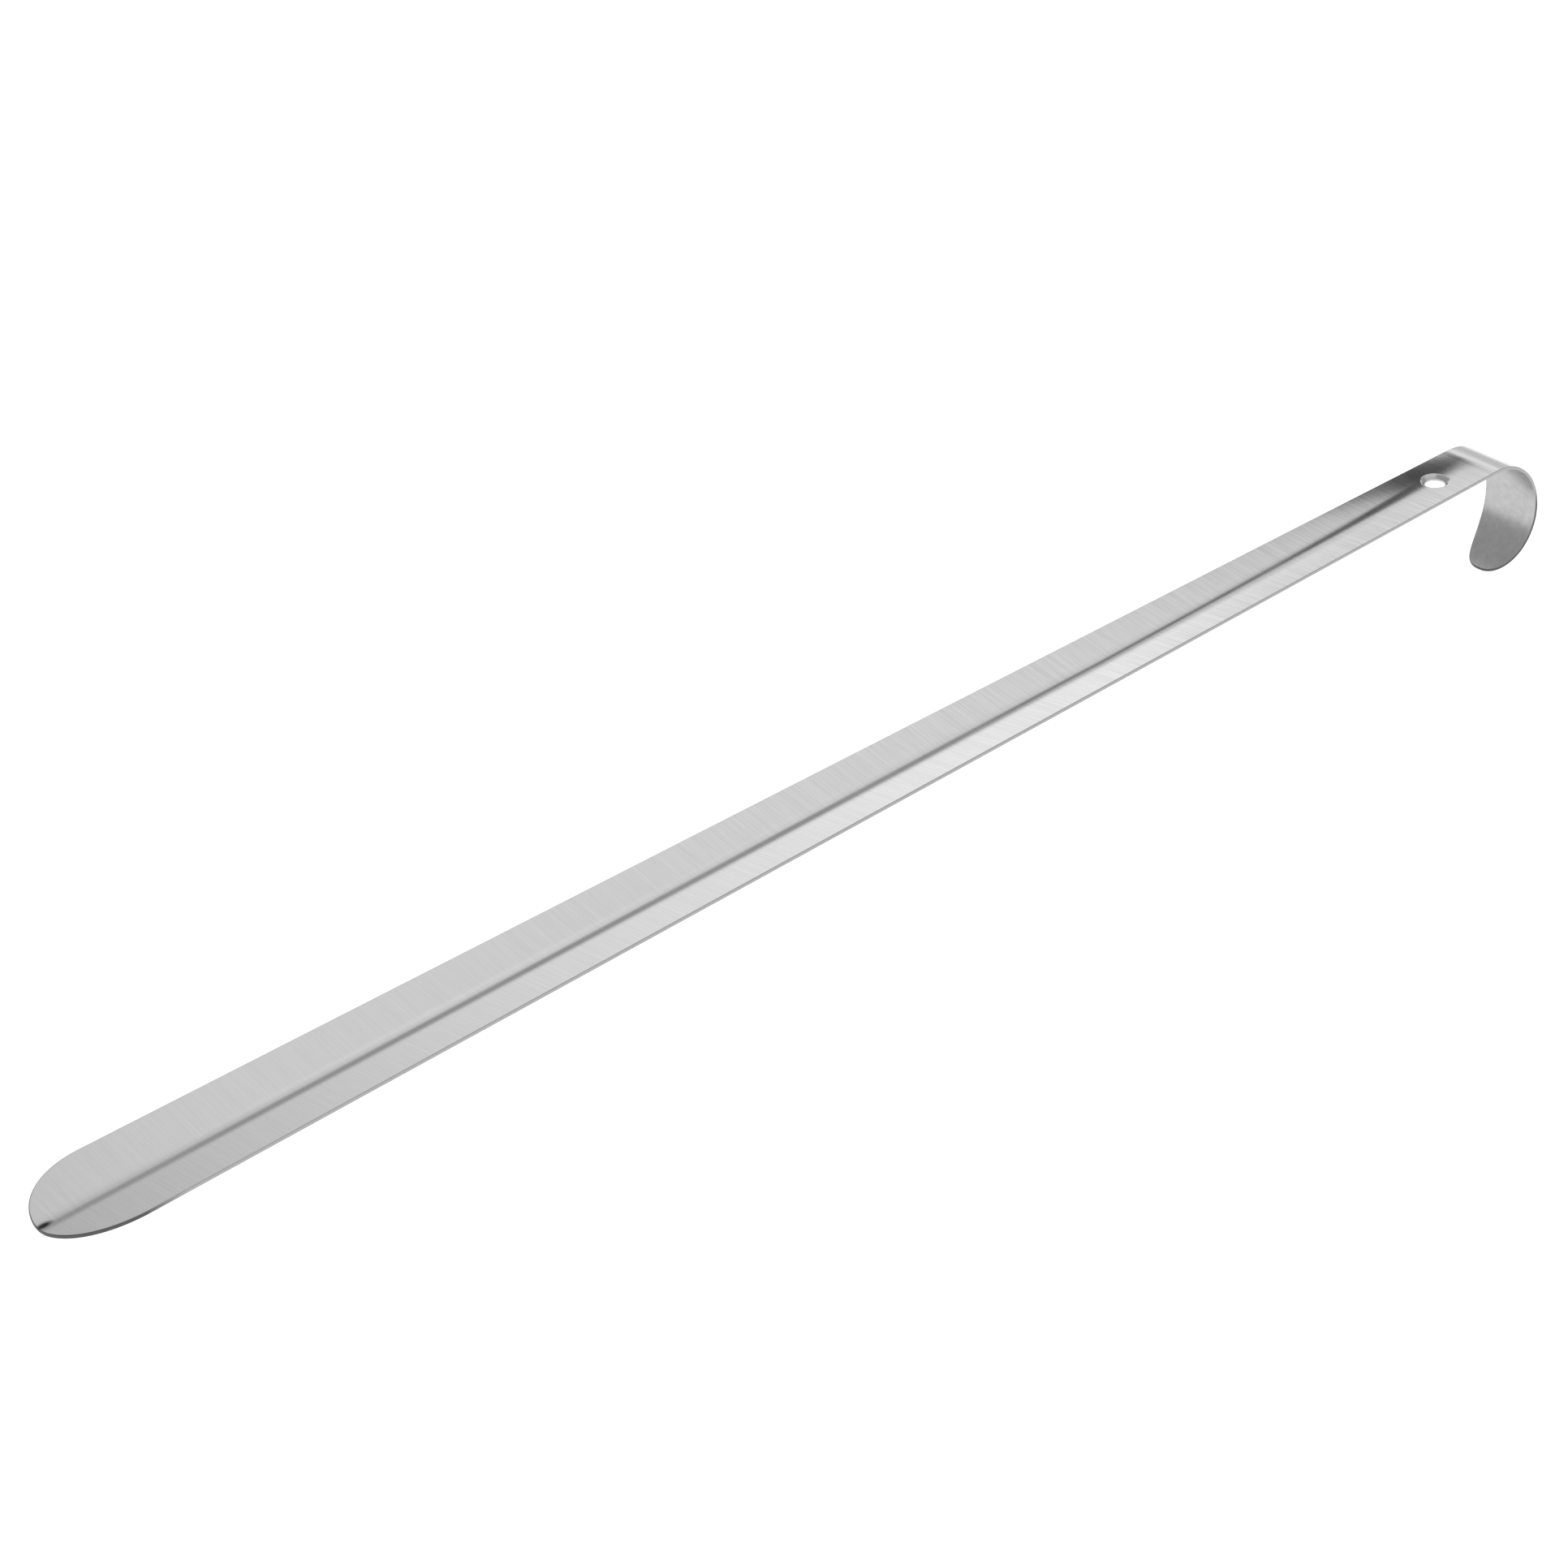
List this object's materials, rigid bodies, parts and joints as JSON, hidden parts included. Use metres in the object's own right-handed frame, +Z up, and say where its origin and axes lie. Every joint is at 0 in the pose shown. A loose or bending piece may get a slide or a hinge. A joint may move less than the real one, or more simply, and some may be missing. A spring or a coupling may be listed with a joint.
{
  "type": "long shoehorn",
  "caption": "Long flat steel shoehorn with a shallow V along its length, a rounded shoe end and a hang hole beside a hooked handle end.",
  "frame": {"origin": "under the middle of the length, on the surface the shoehorn lies on", "axes": "+X along the strip from the shoe end to the hook, +Z up, with the hollow side of the V up and the hook curling down"},
  "size_m": [0.614, 0.0368, 0.0463],
  "materials": {
    "steel": "satin, brushed across the length"
  },
  "bodies": {
    "root": {"shoe_blade": "steel", "shank": "steel", "neck": "steel", "hang_eye": "steel", "hook_bend": "steel", "hook_lip": "steel"}
  },
  "joints": []
}
